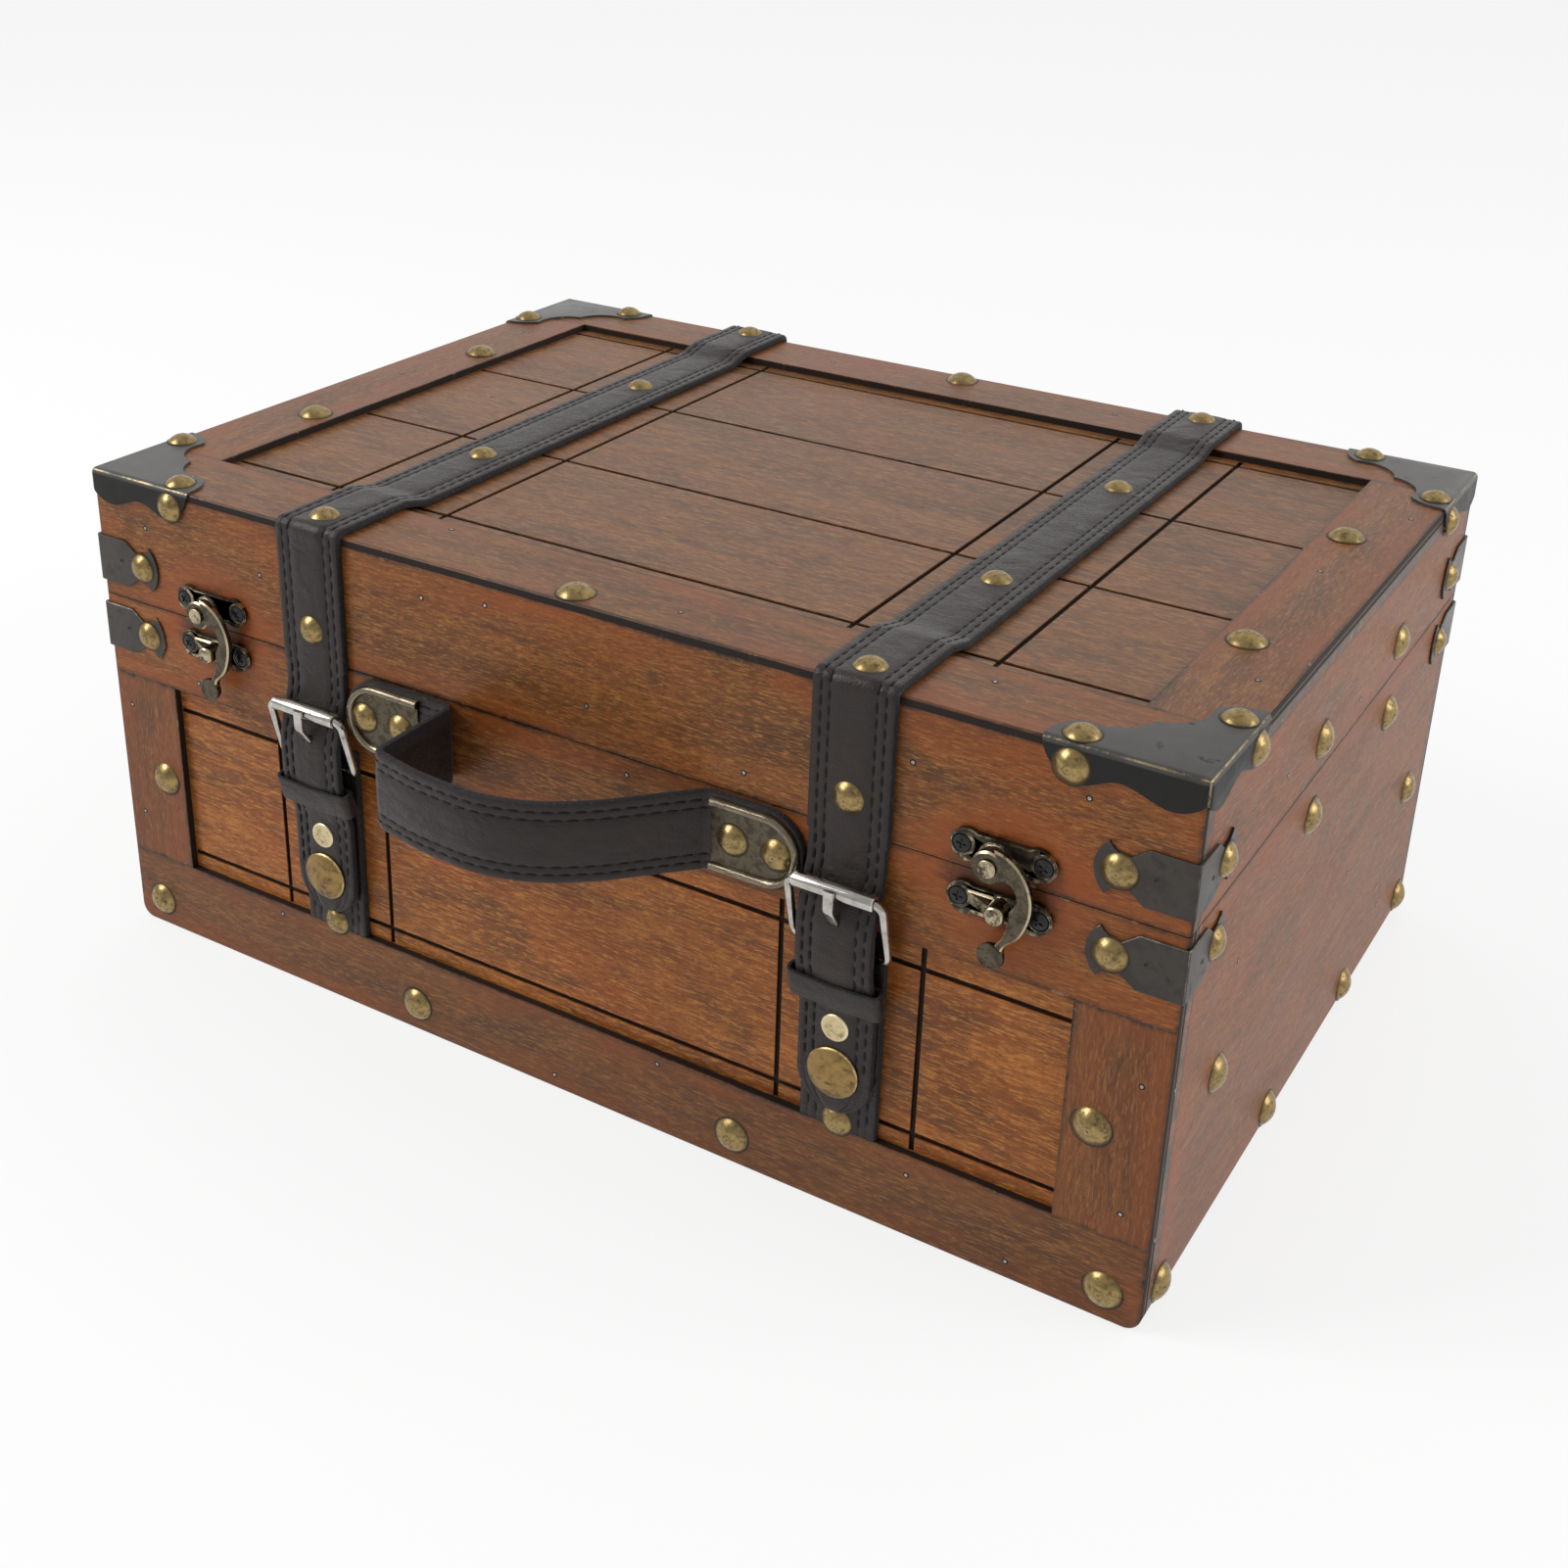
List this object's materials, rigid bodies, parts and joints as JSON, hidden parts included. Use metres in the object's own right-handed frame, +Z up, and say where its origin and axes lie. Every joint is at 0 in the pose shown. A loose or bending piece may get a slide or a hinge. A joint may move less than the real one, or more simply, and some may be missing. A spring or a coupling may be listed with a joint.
{
  "type": "treasure chest box",
  "caption": "Wooden keepsake chest with a hinged lid, swing-hook latches, leather straps with roller buckles and press studs, a leather carrying handle and metal corners.",
  "frame": {"origin": "centre of the underside of the base", "axes": "+X right along the front, -Y out of the front, +Z up"},
  "size_m": [0.3868, 0.3087, 0.1752],
  "materials": {
    "stained_wood": "satin",
    "dark_leather": "satin",
    "stud_brass": "satin",
    "snap_brass": "satin",
    "pale_brass": "satin",
    "nickel_steel": "polished",
    "blackened_steel": "satin",
    "bronzed_steel": "satin",
    "hinge_steel": "satin"
  },
  "bodies": {
    "base": {"base_floor": "stained_wood", "base_front_wall": "stained_wood", "base_back_wall": "stained_wood", "base_left_wall": "stained_wood", "base_right_wall": "stained_wood", "base_front_top_rail": "stained_wood", "base_front_bottom_rail": "stained_wood", "base_front_left_stile": "stained_wood", "base_front_right_stile": "stained_wood", "base_corner_bands": "blackened_steel", "base_studs": "stud_brass", "left_base_strap": "dark_leather", "right_base_strap": "dark_leather", "left_snap_stud": "snap_brass", "right_snap_stud": "snap_brass", "handle_strap": "dark_leather", "left_handle_plate": "bronzed_steel", "right_handle_plate": "bronzed_steel", "handle_rivets": "stud_brass", "left_catch": "bronzed_steel", "right_catch": "bronzed_steel", "base_hinge_leaves": "hinge_steel", "hinge_pins": "hinge_steel"},
    "lid": {"lid_front_wall": "stained_wood", "lid_back_wall": "stained_wood", "lid_left_wall": "stained_wood", "lid_right_wall": "stained_wood", "lid_top_panel": "stained_wood", "lid_front_rail": "stained_wood", "lid_back_rail": "stained_wood", "lid_left_stile": "stained_wood", "lid_right_stile": "stained_wood", "lid_front_left_protector": "blackened_steel", "lid_front_right_protector": "blackened_steel", "lid_back_left_protector": "blackened_steel", "lid_back_right_protector": "blackened_steel", "lid_corner_bands": "blackened_steel", "lid_studs": "stud_brass", "left_lid_strap": "dark_leather", "right_lid_strap": "dark_leather", "left_latch_plate": "bronzed_steel", "right_latch_plate": "bronzed_steel", "lid_hinge_leaves": "hinge_steel"},
    "left_flap": {"left_tongue": "dark_leather", "left_buckle_frame": "nickel_steel", "left_prong": "nickel_steel", "left_keeper": "dark_leather", "left_tongue_rivet": "pale_brass", "left_snap_cap": "snap_brass"},
    "left_roller": {"left_roller": "nickel_steel"},
    "left_hook": {"left_hook": "bronzed_steel"},
    "right_flap": {"right_tongue": "dark_leather", "right_buckle_frame": "nickel_steel", "right_prong": "nickel_steel", "right_keeper": "dark_leather", "right_tongue_rivet": "pale_brass", "right_snap_cap": "snap_brass"},
    "right_roller": {"right_roller": "nickel_steel"},
    "right_hook": {"right_hook": "bronzed_steel"}
  },
  "joints": [
    {"name": "lid_hinge", "type": "hinge", "parent": "base", "child": "lid", "pos_m": [0, 0.1332, 0.12645], "axis": [-1, 0, 0], "range_deg": [0, 105]},
    {"name": "left_hook_pivot", "type": "hinge", "parent": "lid", "child": "left_hook", "pos_m": [-0.1415, -0.136, 0.1318], "axis": [0, -1, 0], "range_deg": [0, 110]},
    {"name": "left_flap_bend", "type": "hinge", "parent": "lid", "child": "left_flap", "pos_m": [-0.095, -0.1323, 0.1251], "axis": [-1, 0, 0], "range_deg": [0, 110]},
    {"name": "left_roller_spin", "type": "hinge", "parent": "left_flap", "child": "left_roller", "pos_m": [-0.095, -0.139, 0.1115], "axis": [1, 0, 0], "continuous": true},
    {"name": "right_hook_pivot", "type": "hinge", "parent": "lid", "child": "right_hook", "pos_m": [0.1375, -0.136, 0.1318], "axis": [0, -1, 0], "range_deg": [0, 110]},
    {"name": "right_flap_bend", "type": "hinge", "parent": "lid", "child": "right_flap", "pos_m": [0.095, -0.1323, 0.1251], "axis": [-1, 0, 0], "range_deg": [0, 110]},
    {"name": "right_roller_spin", "type": "hinge", "parent": "right_flap", "child": "right_roller", "pos_m": [0.095, -0.139, 0.1115], "axis": [1, 0, 0], "continuous": true}
  ]
}
